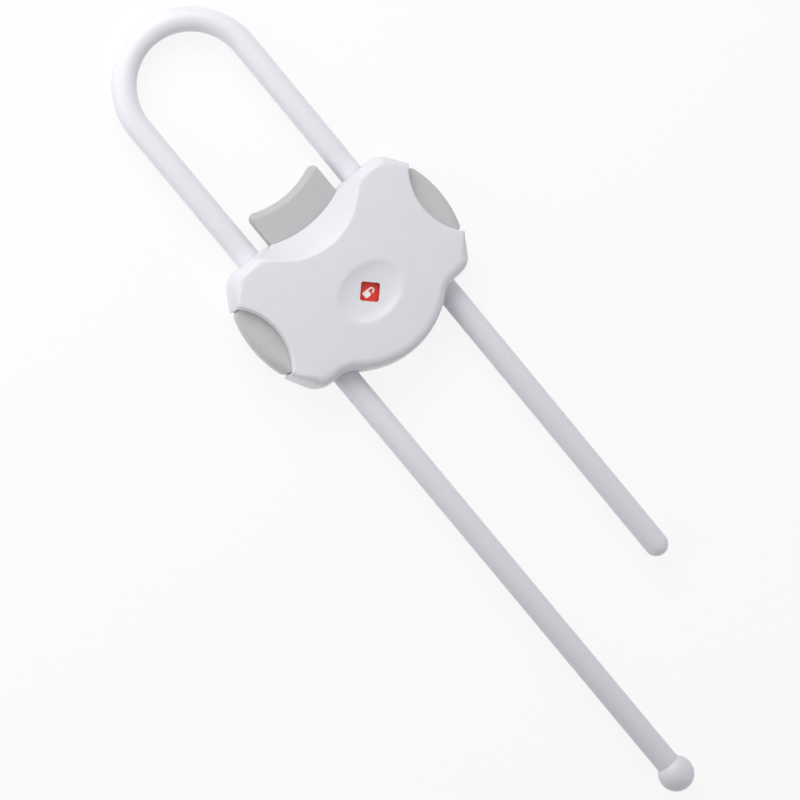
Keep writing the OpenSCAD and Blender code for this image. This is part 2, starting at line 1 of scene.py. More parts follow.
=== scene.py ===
import math
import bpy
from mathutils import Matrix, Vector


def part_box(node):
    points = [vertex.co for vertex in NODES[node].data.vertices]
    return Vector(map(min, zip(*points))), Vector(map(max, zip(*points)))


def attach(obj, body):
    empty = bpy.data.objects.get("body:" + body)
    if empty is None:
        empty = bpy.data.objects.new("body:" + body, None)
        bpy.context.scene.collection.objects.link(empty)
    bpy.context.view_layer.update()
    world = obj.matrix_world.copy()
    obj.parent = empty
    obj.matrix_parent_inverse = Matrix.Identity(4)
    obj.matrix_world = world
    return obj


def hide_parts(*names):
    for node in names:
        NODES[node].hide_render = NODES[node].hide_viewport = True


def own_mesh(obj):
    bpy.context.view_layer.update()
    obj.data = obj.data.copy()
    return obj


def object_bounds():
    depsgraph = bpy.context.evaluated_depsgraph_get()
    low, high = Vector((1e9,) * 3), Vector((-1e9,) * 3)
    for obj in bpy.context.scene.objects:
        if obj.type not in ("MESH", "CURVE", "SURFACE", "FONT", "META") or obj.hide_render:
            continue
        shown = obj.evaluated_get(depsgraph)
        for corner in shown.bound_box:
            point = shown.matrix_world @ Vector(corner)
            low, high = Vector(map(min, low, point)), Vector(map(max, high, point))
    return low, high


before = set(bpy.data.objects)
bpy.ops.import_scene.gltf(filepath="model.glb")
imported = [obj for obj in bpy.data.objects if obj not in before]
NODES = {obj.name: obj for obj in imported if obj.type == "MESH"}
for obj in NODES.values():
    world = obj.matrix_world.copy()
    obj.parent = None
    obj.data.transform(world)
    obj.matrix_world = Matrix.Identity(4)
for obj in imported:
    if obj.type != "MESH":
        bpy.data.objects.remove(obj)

from types import SimpleNamespace

import bmesh
import bpy
from mathutils import Matrix, Vector

bl_info = {
    "name": "Cabinet safety lock",
    "version": (1, 0, 0),
    "blender": (4, 5, 0),
    "location": "3D View > Sidebar > Safety lock",
    "description": "Dresses the cabinet safety lock and sets up its studio",
    "category": "Object",
}

CAD_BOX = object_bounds()
MM = 0.001

# Angles and tolerances of the meshes
QUARTER_TURN = math.radians(90)
HALF_TURN = math.radians(180)
FULL_TURN = math.radians(360)
SHARP_ANGLE = math.radians(32)
FLAT_ANGLE = math.radians(0.5)
SAME_POINT = 0.001 * MM

# Faces of the rod's round tip and of its ball
TIP_STEPS = 10
BALL_STEPS = 40
BALL_SIDES = 64
NECK_STEPS = 6
# Play between the rod's end and its seat in the ball
SEAT_GAP = 0.05 * MM

# The new bowl's rings start outside of the window, at a share of the dish's radius
BOWL_START = 0.56
BOWL_RINGS = 24
BOWL_SIDES = 96
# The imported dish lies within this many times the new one's radius
OLD_DISH_REACH = 1.3
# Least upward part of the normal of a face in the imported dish
FACING_UP = 0.2

# Padlock sign, in shares of the side of its body
SIGN_CORNER = 0.16
SIGN_DROP = 0.4
BOW_RADIUS = 0.34
BOW_STROKE = 0.24
BOW_FOOT = 0.04
BOW_LEG = 0.18
BOW_LIFT = 0.3
CORNER_STEPS = 4
BOW_STEPS = 20

# Pitch of a spring's closed end turn, in shares of the wire
CLOSED_PITCH = 1.04

# Noise values between which a finish's tone and gloss run from end to end
NOISE_SPAN = (0.3, 0.7)
# How far a finish's roughness strays to either side
GLOSS_SPREAD = 0.06
# Full alpha
OPAQUE = 1.0

# Studio, in metres
LAMP_SIZE = 0.4
LAMP_AIM = Vector((0, 0.05, 0))
LAMP_PLACES = {
    "key": (0.1, 0.34, 0.34),
    "left": (-0.24, 0.2, 0.2),
    "front": (0.14, -0.52, 0.23),
    "right": (0.42, -0.08, 0.24),
}
SENSOR_WIDTH_MM = 36
FLOOR_REACH = 3.0
FLOOR_GAP = 0.2 * MM
FLOOR_TINT = 0.01


class SAFETYLOCK_PG_sizes(bpy.types.PropertyGroup):
    """Sizes of the details that the dressing adds to the solids."""

    rod_sides: bpy.props.IntProperty(
        name="Rod sides", description="Faces round the shackle's rod", default=48, min=12
    )
    bend_steps: bpy.props.IntProperty(
        name="Bend steps", description="Faces along the shackle's bend", default=72, min=16
    )
    neck: bpy.props.FloatProperty(
        name="Ball neck", description="Radius of the fillet between the stop ball and the rod",
        default=0.25 * MM, unit="LENGTH",
    )
    dish_length: bpy.props.FloatProperty(
        name="Dish length", description="Length of the oval dish across the legs",
        default=20.6 * MM, unit="LENGTH",
    )
    dish_width: bpy.props.FloatProperty(
        name="Dish width", description="Width of the oval dish along the legs",
        default=15.3 * MM, unit="LENGTH",
    )
    dish_depth: bpy.props.FloatProperty(
        name="Dish depth", description="Depth of the oval dish at its middle",
        default=1.1 * MM, unit="LENGTH",
    )
    dish_power: bpy.props.FloatProperty(
        name="Dish power",
        description="Power of the dish's curve: 2 is a plain bowl, more has a flatter floor",
        default=3.0, min=2, max=6,
    )
    dish_rim: bpy.props.FloatProperty(
        name="Dish rim", description="Share of the dish's radius at which its rim starts to round over",
        default=0.92, subtype="FACTOR", min=0.6, max=0.98,
    )
    sign_size: bpy.props.FloatProperty(
        name="Sign size", description="Side of the padlock's body in the printed signs",
        default=1.9 * MM, unit="LENGTH",
    )
    sign_ink: bpy.props.FloatProperty(
        name="Sign ink", description="Thickness of the printed signs", default=0.02 * MM, unit="LENGTH"
    )
    wire: bpy.props.FloatProperty(
        name="Spring wire", description="Diameter of the springs' wire", default=0.5 * MM, unit="LENGTH"
    )
    wire_sides: bpy.props.IntProperty(
        name="Wire sides", description="Faces round the springs' wire", default=12, min=6
    )
    turn_steps: bpy.props.IntProperty(
        name="Turn steps", description="Faces along one turn of a spring", default=24, min=8
    )
    tab_turns: bpy.props.IntProperty(
        name="Tab spring turns", description="Turns of the tab's spring", default=11, min=4
    )
    button_turns: bpy.props.IntProperty(
        name="Button spring turns", description="Turns of each button's spring", default=5, min=4
    )


class SAFETYLOCK_PG_colours(bpy.types.PropertyGroup):
    """Colours of the finishes, as linear values."""

    shell: bpy.props.FloatVectorProperty(
        name="Shell", description="White moulded shell", subtype="COLOR", default=(0.80, 0.805, 0.838)
    )
    rod: bpy.props.FloatVectorProperty(
        name="Rod", description="White flexible rod", subtype="COLOR", default=(0.825, 0.825, 0.868)
    )
    tab: bpy.props.FloatVectorProperty(
        name="Tab", description="Grey lock tab", subtype="COLOR", default=(0.53, 0.526, 0.535)
    )
    button: bpy.props.FloatVectorProperty(
        name="Buttons", description="Grey squeeze buttons", subtype="COLOR", default=(0.575, 0.575, 0.57)
    )
    window: bpy.props.FloatVectorProperty(
        name="Window", description="Clear indicator window", subtype="COLOR", default=(0.98, 0.985, 0.99)
    )
    red: bpy.props.FloatVectorProperty(
        name="Unlocked", description="Label shown while unlocked",
        subtype="COLOR", default=(0.78, 0.028, 0.010),
    )
    green: bpy.props.FloatVectorProperty(
        name="Locked", description="Label shown while locked", subtype="COLOR", default=(0.03, 0.36, 0.08)
    )
    sign: bpy.props.FloatVectorProperty(
        name="Sign", description="Ink of the padlock signs", subtype="COLOR", default=(0.86, 0.86, 0.86)
    )
    inner: bpy.props.FloatVectorProperty(
        name="Inner parts", description="Flag, catches and jaws",
        subtype="COLOR", default=(0.46, 0.47, 0.49),
    )
    rubber: bpy.props.FloatVectorProperty(
        name="Rubber", description="Jaw pads", subtype="COLOR", default=(0.03, 0.03, 0.032)
    )
    steel: bpy.props.FloatVectorProperty(
        name="Steel", description="Springs and screws", subtype="COLOR", default=(0.60, 0.60, 0.62)
    )


class SAFETYLOCK_PG_studio(bpy.types.PropertyGroup):
    """Camera, lamps, surroundings and floor."""

    camera_place: bpy.props.FloatVectorProperty(
        name="Camera", description="Place of the camera", subtype="TRANSLATION", unit="LENGTH",
        default=(-0.12396, 0.03434, 0.6964),
    )
    camera_turn: bpy.props.FloatVectorProperty(
        name="Camera turn", description="Turn of the camera", subtype="EULER", unit="ROTATION",
        default=tuple(math.radians(a) for a in (1.986, -10.404, -40.322)),
    )
    lens: bpy.props.FloatProperty(
        name="Lens", description="Focal length for a 36 mm sensor", default=112.5, unit="CAMERA"
    )
    key_power: bpy.props.FloatProperty(
        name="Key", description="Power of the lamp above the loop", default=1.4, unit="POWER"
    )
    left_power: bpy.props.FloatProperty(
        name="Left", description="Power of the lamp on the long leg's side", default=0.53, unit="POWER"
    )
    front_power: bpy.props.FloatProperty(
        name="Front", description="Power of the low lamp at the ball's end", default=0.42, unit="POWER"
    )
    right_power: bpy.props.FloatProperty(
        name="Right", description="Power of the lamp on the short leg's side", default=0.22, unit="POWER"
    )
    ambient: bpy.props.FloatProperty(
        name="Ambient", description="Strength of the even light from all round", default=0.24
    )
    ambient_colour: bpy.props.FloatVectorProperty(
        name="Ambient colour", description="Colour of the even light from all round",
        subtype="COLOR", default=(0.93, 0.95, 1.0),
    )
    floor: bpy.props.FloatVectorProperty(
        name="Floor", description="Colour of the floor", subtype="COLOR", default=(0.95, 0.95, 0.95)
    )
    floor_glow: bpy.props.FloatProperty(
        name="Floor glow", description="Share of plain white in the floor that the camera sees",
        default=0.86, subtype="FACTOR", min=0, max=1,
    )


def sizes():
    return bpy.context.scene.safety_lock_sizes


def colours():
    return bpy.context.scene.safety_lock_colours


def studio():
    return bpy.context.scene.safety_lock_studio


def shade(colour, share):
    """A colour made lighter or darker by a share, with full alpha."""
    return tuple(min(1.0, c * (1 + share)) for c in colour) + (OPAQUE,)


def adder(tree):
    """A function that adds a node to a tree, sets its values and links its inputs."""

    def add(kind, links=None, **values):
        node = tree.nodes.new(kind)
        for key, value in values.items():
            if key in node.inputs:
                node.inputs[key].default_value = value
            else:
                setattr(node, key, value)
        for socket, source in (links or {}).items():
            tree.links.new(source, node.inputs[socket])
        return node

    return add


def shader_of(finish):
    return finish.node_tree.nodes["Principled BSDF"]


def new_finish(name):
    """A plain material, a function that adds nodes to it and one that joins them to its shader."""
    finish = bpy.data.materials.new(name)
    finish.use_nodes = True

    def join(source, socket):
        finish.node_tree.links.new(source, shader_of(finish).inputs[socket])

    return finish, adder(finish.node_tree), join


def tones(add, noise, colour, tint, span=(0, 1)):
    """A colour that drifts with a noise, from a little darker to a little lighter."""
    ramp = add("ShaderNodeValToRGB", {"Fac": noise.outputs["Fac"]})
    for stop, position, share in zip(ramp.color_ramp.elements, span, (-tint, tint)):
        stop.position = position
        stop.color = shade(colour, share)
    return ramp.outputs["Color"]


def moulded(name, colour, roughness, grain, depth, cloud=9 * MM, tint=0.02, stretch=(1, 1, 1)):
    """Moulded plastic: a fine grain in the surface, soft clouds in its colour and an uneven gloss."""
    finish, add, join = new_finish(name)
    place = add("ShaderNodeTexCoord").outputs["Object"]
    drawn = add("ShaderNodeMapping", {"Vector": place}, Scale=stretch).outputs["Vector"]
    fine = add("ShaderNodeTexNoise", {"Vector": drawn}, Scale=1 / grain, Detail=3.0, Roughness=0.55)
    soft = add("ShaderNodeTexNoise", {"Vector": drawn}, Scale=1 / cloud, Detail=2.0, Roughness=0.5)
    ends = {
        "From Min": NOISE_SPAN[0], "From Max": NOISE_SPAN[1],
        "To Min": roughness - GLOSS_SPREAD, "To Max": roughness + GLOSS_SPREAD,
    }
    gloss = add("ShaderNodeMapRange", {"Value": fine.outputs["Fac"]}, **ends)
    relief = add("ShaderNodeBump", {"Height": fine.outputs["Fac"]}, Strength=0.5, Distance=depth)
    join(tones(add, soft, colour, tint, NOISE_SPAN), "Base Color")
    join(gloss.outputs["Result"], "Roughness")
    join(relief.outputs["Normal"], "Normal")
    return finish


def steel(name, colour, roughness, grain):
    """Plated or drawn steel with a fine grain."""
    finish = moulded(name, colour, roughness, grain, depth=0.004 * MM, cloud=2 * MM, tint=0.06)
    shader_of(finish).inputs["Metallic"].default_value = 1.0
    return finish


def clear_plastic(name, colour):
    """Polished clear plastic with the faintest haze."""
    finish, add, join = new_finish(name)
    place = add("ShaderNodeTexCoord").outputs["Object"]
    haze = add("ShaderNodeTexNoise", {"Vector": place}, Scale=1 / (1.5 * MM), Detail=2.0)
    ends = {"To Min": 0.01, "To Max": 0.06}
    gloss = add("ShaderNodeMapRange", {"Value": haze.outputs["Fac"]}, **ends)
    join(gloss.outputs["Result"], "Roughness")
    sockets = shader_of(finish).inputs
    sockets["Base Color"].default_value = (*colour, OPAQUE)
    sockets["Transmission Weight"].default_value = 1.0
    sockets["IOR"].default_value = 1.18
    return finish


def finish_named(name, make, *args, **values):
    """The finish of that name, made when it is first asked for."""
    return bpy.data.materials.get(name) or make(name, *args, **values)


def shell_finish():
    return finish_named(
        "white_shell", moulded, colours().shell,
        roughness=0.36, grain=0.45 * MM, depth=0.006 * MM, tint=0.012,
    )


def rod_finish():
    """The rod's plastic, with its grain drawn out along the legs."""
    return finish_named(
        "white_rod", moulded, colours().rod,
        roughness=0.4, grain=0.6 * MM, depth=0.008 * MM, tint=0.015, stretch=(1, 0.06, 1),
    )


def grip_finish(name, colour):
    return finish_named(name, moulded, colour, roughness=0.52, grain=0.35 * MM, depth=0.014 * MM)


def inner_finish():
    return finish_named(
        "inner_plastic", moulded, colours().inner, roughness=0.5, grain=0.3 * MM, depth=0.01 * MM
    )


def label_finish(name, colour):
    finish = finish_named(name, moulded, colour, roughness=0.5, grain=0.2 * MM, depth=0.004 * MM)
    shader_of(finish).inputs["Specular IOR Level"].default_value = 0.25
    return finish


def ray_share(add):
    """1 for rays from the camera, or seen in gloss or through clear plastic, and otherwise 0."""
    path = add("ShaderNodeLightPath").outputs
    near = add("ShaderNodeMath", {0: path["Is Camera Ray"], 1: path["Is Glossy Ray"]}, operation="MAXIMUM")
    far = add("ShaderNodeMath", {0: near.outputs[0], 1: path["Is Transmission Ray"]}, operation="MAXIMUM")
    return far.outputs[0]


def floor_finish():
    """A pale matt floor that the camera sees nearly white, with the lock's shadow on it."""
    finish, add, join = new_finish("floor_white")
    shader = shader_of(finish)
    place = add("ShaderNodeTexCoord").outputs["Object"]
    cloud = add("ShaderNodeTexNoise", {"Vector": place}, Scale=3.0)
    join(tones(add, cloud, studio().floor, FLOOR_TINT), "Base Color")
    shader.inputs["Roughness"].default_value = 0.9
    shader.inputs["Specular IOR Level"].default_value = 0.1
    glow = add("ShaderNodeEmission")
    share = add("ShaderNodeMath", {0: ray_share(add)}, operation="MULTIPLY")
    share.inputs[1].default_value = studio().floor_glow
    both = add("ShaderNodeMixShader", {0: share.outputs[0], 1: shader.outputs[0], 2: glow.outputs[0]})
    tree = finish.node_tree
    tree.links.new(both.outputs[0], tree.nodes["Material Output"].inputs["Surface"])
    return finish


def merged(node, whole=True):
    """A copy of a CAD node as one closed mesh, with its flat faces whole where asked."""
    bm = bmesh.new()
    bm.from_mesh(NODES[node].data)
    bmesh.ops.remove_doubles(bm, verts=bm.verts, dist=SAME_POINT)
    if whole:
        bmesh.ops.dissolve_limit(bm, angle_limit=FLAT_ANGLE, verts=bm.verts, edges=bm.edges)
    return bm


def finished(bm, name, finish, body, nodes=()):
    """Turns a mesh into a piece that rides on a body and stands for CAD nodes."""
    mesh = bpy.data.meshes.new(name)
    bm.to_mesh(mesh)
    bm.free()
    mesh.shade_smooth()
    mesh.set_sharp_from_angle(angle=SHARP_ANGLE)
    mesh.materials.append(finish)
    piece = bpy.data.objects.new(name, mesh)
    bpy.context.scene.collection.objects.link(piece)
    even = piece.modifiers.new("even_normals", "WEIGHTED_NORMAL")
    even.keep_sharp = True
    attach(piece, body)
    if nodes:
        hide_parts(*nodes)
    return piece


def dress(node, finish):
    """Gives a CAD node that is kept a better finish."""
    slots = NODES[node].data.materials
    slots.clear()
    slots.append(finish)


def edges_in(geom):
    return [part for part in geom if isinstance(part, bmesh.types.BMEdge)]


def verts_in(geom):
    return [part for part in geom if isinstance(part, bmesh.types.BMVert)]


def verts_on(edges):
    """The vertices of a run of edges, each once."""
    return list(dict.fromkeys(v for e in edges for v in e.verts))


def extend(bm, rim, shift, scale=1.0, centre=None):
    """Extrudes a rim of edges, moves it and scales it about a centre on its axis."""
    made = bmesh.ops.extrude_edge_only(bm, edges=rim)["geom"]
    verts = verts_in(made)
    bmesh.ops.translate(bm, verts=verts, vec=shift)
    if centre is not None:
        bmesh.ops.scale(bm, verts=verts, vec=(scale,) * 3, space=Matrix.Translation(-(centre + shift)))
    return edges_in(made)


def rod_measures():
    """The rod's radius and height, its legs' offset, its bend's centre, its long end and its short tip."""
    low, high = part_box("shackle")
    radius = (high.z - low.z) / 2
    leg = high.x - radius
    points = [v.co for v in NODES["shackle"].data.vertices]
    return SimpleNamespace(
        radius=radius,
        height=(low.z + high.z) / 2,
        leg=leg,
        bend_y=high.y - leg - radius,
        end_y=low.y,
        tip_y=min(p.y for p in points if p.x > 0),
    )


class SAFETYLOCK_OT_shackle(bpy.types.Operator):
    """Makes the U-shaped rod with its long leg and its short leg with a round tip"""

    bl_idname = "safety_lock.shackle"
    bl_label = "Shackle"

    def execute(self, context):
        rod = rod_measures()
        place = Matrix.Translation((rod.leg, rod.bend_y, rod.height))
        bm = bmesh.new()
        bmesh.ops.create_circle(
            bm, segments=sizes().rod_sides, radius=rod.radius,
            matrix=place @ Matrix.Rotation(QUARTER_TURN, 4, "X"),
        )
        start = list(bm.edges)
        bend = bmesh.ops.spin(
            bm, geom=start, cent=(0, rod.bend_y, rod.height), axis=(0, 0, 1),
            angle=HALF_TURN, steps=sizes().bend_steps,
        )
        long_end = extend(bm, edges_in(bend["geom_last"]), Vector((0, rod.end_y - rod.bend_y, 0)))
        bmesh.ops.holes_fill(bm, edges=long_end)
        short_end = extend(bm, start, Vector((0, rod.tip_y + rod.radius - rod.bend_y, 0)))
        self.round_tip(bm, short_end, rod)
        bmesh.ops.recalc_face_normals(bm, faces=bm.faces)
        finished(bm, "shackle_rod", rod_finish(), "shackle", ("shackle",))
        return {"FINISHED"}

    def round_tip(self, bm, rim, rod):
        """Closes the short leg with half a ball."""
        centre = Vector((rod.leg, rod.tip_y + rod.radius, rod.height))
        for k in range(1, TIP_STEPS):
            before, after = (QUARTER_TURN * i / TIP_STEPS for i in (k - 1, k))
            shift = Vector((0, -rod.radius * (math.sin(after) - math.sin(before)), 0))
            rim = extend(bm, rim, shift, math.cos(after) / math.cos(before), centre)
            centre = centre + shift
        pole = extend(bm, rim, Vector((0, rod.tip_y - centre.y, 0)))
        tip = Vector((rod.leg, rod.tip_y, rod.height))
        bmesh.ops.pointmerge(bm, verts=verts_on(pole), merge_co=tip)


class SAFETYLOCK_OT_stop_ball(bpy.types.Operator):
    """Makes the ball on the long leg, with a fillet up to the rod and a blind seat for it"""

    bl_idname = "safety_lock.stop_ball"
    bl_label = "Stop ball"

    def execute(self, context):
        low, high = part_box("stop_ball")
        ball_r = (high.x - low.x) / 2
        centre = Vector((low.x + ball_r, low.y + ball_r, low.z + ball_r))
        bm = bmesh.new()
        profile = self.draw_profile(ball_r, centre.y)
        points = [bm.verts.new(centre + Vector((0, y, r))) for r, y in profile]
        line = [bm.edges.new(pair) for pair in zip(points, points[1:])]
        bmesh.ops.spin(
            bm, geom=points + line, cent=centre, axis=(0, 1, 0),
            angle=FULL_TURN, steps=BALL_SIDES, use_merge=True,
        )
        bmesh.ops.remove_doubles(bm, verts=bm.verts, dist=SAME_POINT)
        bmesh.ops.recalc_face_normals(bm, faces=bm.faces)
        finished(bm, "stop_ball_cap", rod_finish(), "shackle", ("stop_ball",))
        return {"FINISHED"}

    def draw_profile(self, ball_r, centre_y):
        """Points from the ball's end over the neck to the seat, as radius and place from the centre."""
        rod = rod_measures()
        neck = sizes().neck
        bore_r = rod.radius + SEAT_GAP
        reach = math.sqrt((ball_r + neck) ** 2 - (bore_r + neck) ** 2)
        turn = math.atan2(bore_r + neck, reach)
        angles = [HALF_TURN * k / BALL_STEPS for k in range(BALL_STEPS)]
        profile = [(ball_r * math.sin(a), -ball_r * math.cos(a)) for a in angles if a < HALF_TURN - turn]
        for k in range(NECK_STEPS + 1):
            angle = turn + (QUARTER_TURN - turn) * k / NECK_STEPS
            profile.append((bore_r + neck - neck * math.sin(angle), reach - neck * math.cos(angle)))
        seat = rod.end_y - SEAT_GAP - centre_y
        return profile + [(bore_r, seat), (0, seat)]


def bowl_rim():
    """Width of the dish's rounded rim, as a share of the dish's radius."""
    rim, power = sizes().dish_rim, sizes().dish_power
    return 2 * (1 - rim ** power) / (power * rim ** (power - 1))


def bowl_share(share):
    """Height in the dish at a share of its radius: a shallow bowl whose rim turns over smoothly."""
    rim, power = sizes().dish_rim, sizes().dish_power
    if share < rim:
        return share ** power
    step = min(1, (share - rim) / bowl_rim())
    return rim ** power + 2 * (1 - rim ** power) * (step - step ** 2 / 2)


class SAFETYLOCK_OT_covers(bpy.types.Operator):
    """Makes the front shell and the back shell"""

    bl_idname = "safety_lock.covers"
    bl_label = "Covers"

    def execute(self, context):
        front = merged("front_cover", whole=False)
        self.soften_dish(front)
        finished(front, "front_shell", shell_finish(), "housing", ("front_cover",))
        back = merged("back_cover", whole=False)
        finished(back, "back_shell", shell_finish(), "housing", ("back_cover",))
        return {"FINISHED"}

    def soften_dish(self, bm):
        """Puts a bowl with a rounded rim in place of the front's plain dish."""
        half_x, half_y = sizes().dish_length / 2, sizes().dish_width / 2
        top = max(v.co.z for v in bm.verts)
        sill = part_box("indicator_window")[1].z

        def radius(place):
            return math.hypot(place.x / half_x, place.y / half_y)

        def height(share):
            return top - sizes().dish_depth * (1 - bowl_share(share))

        def on_top(vert):
            return vert.co.z > top - SAME_POINT

        for face in bm.faces:
            centre = face.calc_center_median()
            dished = centre.z > sill and face.normal.z > FACING_UP and radius(centre) < OLD_DISH_REACH
            face.tag = dished or all(on_top(v) for v in face.verts)
        rim = [e for e in bm.edges if sum(f.tag for f in e.link_faces) == 1]
        bmesh.ops.delete(bm, geom=[f for f in bm.faces if f.tag], context="FACES")
        outline = [e for e in rim if on_top(e.verts[0])]
        hole = [e for e in rim if not on_top(e.verts[0])]
        for vert in verts_on(hole):
            vert.co.z = height(radius(vert.co))

        bowl_end = sizes().dish_rim + bowl_rim()
        shares = [BOWL_START + (bowl_end - BOWL_START) * k / BOWL_RINGS for k in range(BOWL_RINGS + 1)]
        points = [bm.verts.new((0, half_y * share, height(share))) for share in shares]
        lines = [bm.edges.new(pair) for pair in zip(points, points[1:])]
        known = set(bm.verts) - set(points)
        bmesh.ops.spin(
            bm, geom=points + lines, cent=(0, 0, 0), axis=(0, 0, 1),
            angle=FULL_TURN, steps=BOWL_SIDES, use_merge=True,
        )
        bmesh.ops.remove_doubles(bm, verts=[v for v in bm.verts if v not in known], dist=SAME_POINT)
        bowl = [v for v in bm.verts if v not in known]
        bmesh.ops.scale(bm, verts=bowl, vec=(half_x / half_y, 1, 1))

        middle = (BOWL_START + bowl_end) / 2
        ends = [e for e in bm.edges if len(e.link_faces) == 1 and e.verts[0] not in known]
        outer = [e for e in ends if radius(e.verts[0].co) > middle]
        inner = [e for e in ends if radius(e.verts[0].co) < middle]
        for border in (outline + outer, hole + inner):
            bmesh.ops.triangle_fill(bm, edges=border, use_beauty=True, normal=(0, 0, 1))
        bmesh.ops.recalc_face_normals(bm, faces=bm.faces)


class SAFETYLOCK_OT_screws(bpy.types.Operator):
    """Makes the four screws in the back"""

    bl_idname = "safety_lock.screws"
    bl_label = "Screws"

    def execute(self, context):
        finish = finish_named("plated_screw", steel, colours().steel, roughness=0.3, grain=0.15 * MM)
        screws = merged("cover_screws")
        finished(screws, "back_screws", finish, "housing", ("cover_screws",))
        return {"FINISHED"}


class SAFETYLOCK_OT_indicator(bpy.types.Operator):
    """Makes the clear window, and finishes the flag and both labels"""

    bl_idname = "safety_lock.indicator"
    bl_label = "Indicator"

    def execute(self, context):
        clear = finish_named("clear_window", clear_plastic, colours().window)
        window = merged("indicator_window")
        finished(window, "window_pane", clear, "housing", ("indicator_window",))
        dress("indicator_flag", inner_finish())
        dress("unlocked_label", label_finish("red_print", colours().red))
        dress("locked_label", label_finish("green_print", colours().green))
        return {"FINISHED"}


class SAFETYLOCK_OT_signs(bpy.types.Operator):
    """Prints an open padlock on the unlocked label and a closed one on the locked label"""

    bl_idname = "safety_lock.signs"
    bl_label = "Padlock signs"

    def execute(self, context):
        ink = finish_named(
            "sign_ink", moulded, colours().sign, roughness=0.45, grain=0.2 * MM, depth=0.003 * MM
        )
        for state, lift in (("unlocked", BOW_LIFT), ("locked", 0.0)):
            bm = bmesh.new()
            self.draw_padlock(bm, sizes().sign_size, lift)
            low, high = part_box(state + "_label")
            place = Matrix.Translation(((low.x + high.x) / 2, (low.y + high.y) / 2, high.z))
            turn = Matrix.Rotation(-QUARTER_TURN, 4, "Z")
            bmesh.ops.transform(bm, verts=bm.verts, matrix=place @ turn)
            finished(bm, state + "_sign", ink, "lock_tab")
        return {"FINISHED"}

    def draw_padlock(self, bm, side, lift):
        """A padlock that stands along +Y, with one end of its bow lifted by a share of the body's side."""
        body = bmesh.ops.create_grid(bm, x_segments=1, y_segments=1, size=side / 2)["verts"]
        bmesh.ops.bevel(
            bm, geom=body, offset=side * SIGN_CORNER, offset_type="OFFSET", affect="VERTICES",
            segments=CORNER_STEPS, profile=0.5, material=-1,
        )
        bmesh.ops.translate(bm, verts=bm.verts, vec=(0, -side * SIGN_DROP, 0))
        known = set(bm.verts)
        bow, stroke, leg = side * BOW_RADIUS, side * BOW_STROKE, side * BOW_LEG
        foot = side * (BOW_FOOT + lift)
        ends = [bm.verts.new((bow + d, foot, 0)) for d in (-stroke / 2, stroke / 2)]
        rim = extend(bm, [bm.edges.new(ends)], Vector((0, leg, 0)))
        turned = bmesh.ops.spin(
            bm, geom=rim, cent=(0, foot + leg, 0), axis=(0, 0, 1), angle=HALF_TURN, steps=BOW_STEPS
        )
        extend(bm, edges_in(turned["geom_last"]), Vector((0, -lift * side - leg, 0)))
        bmesh.ops.remove_doubles(bm, verts=[v for v in bm.verts if v not in known], dist=SAME_POINT)
        bmesh.ops.recalc_face_normals(bm, faces=bm.faces)
        bmesh.ops.reverse_faces(bm, faces=[f for f in bm.faces if f.normal.z < 0])
        raised = bmesh.ops.extrude_face_region(bm, geom=list(bm.faces), use_keep_orig=True)
        bmesh.ops.translate(bm, verts=verts_in(raised["geom"]), vec=(0, 0, sizes().sign_ink))
        bmesh.ops.recalc_face_normals(bm, faces=bm.faces)


class SAFETYLOCK_OT_slider(bpy.types.Operator):
    """Makes the lock slider with its thumb tab"""

    bl_idname = "safety_lock.slider"
    bl_label = "Lock slider"

    def execute(self, context):
        finish = grip_finish("grey_tab", colours().tab)
        finished(merged("lock_slider"), "thumb_slider", finish, "lock_tab", ("lock_slider",))
        return {"FINISHED"}


class SAFETYLOCK_OT_buttons(bpy.types.Operator):
    """Makes the two squeeze buttons and finishes their catches"""

    bl_idname = "safety_lock.buttons"
    bl_label = "Buttons"

    def execute(self, context):
        finish = grip_finish("grey_button", colours().button)
        for side in ("left", "right"):
            node = side + "_button"
            finished(merged(node), side + "_squeeze_pad", finish, node, (node,))
            dress(side + "_catch", inner_finish())
        return {"FINISHED"}


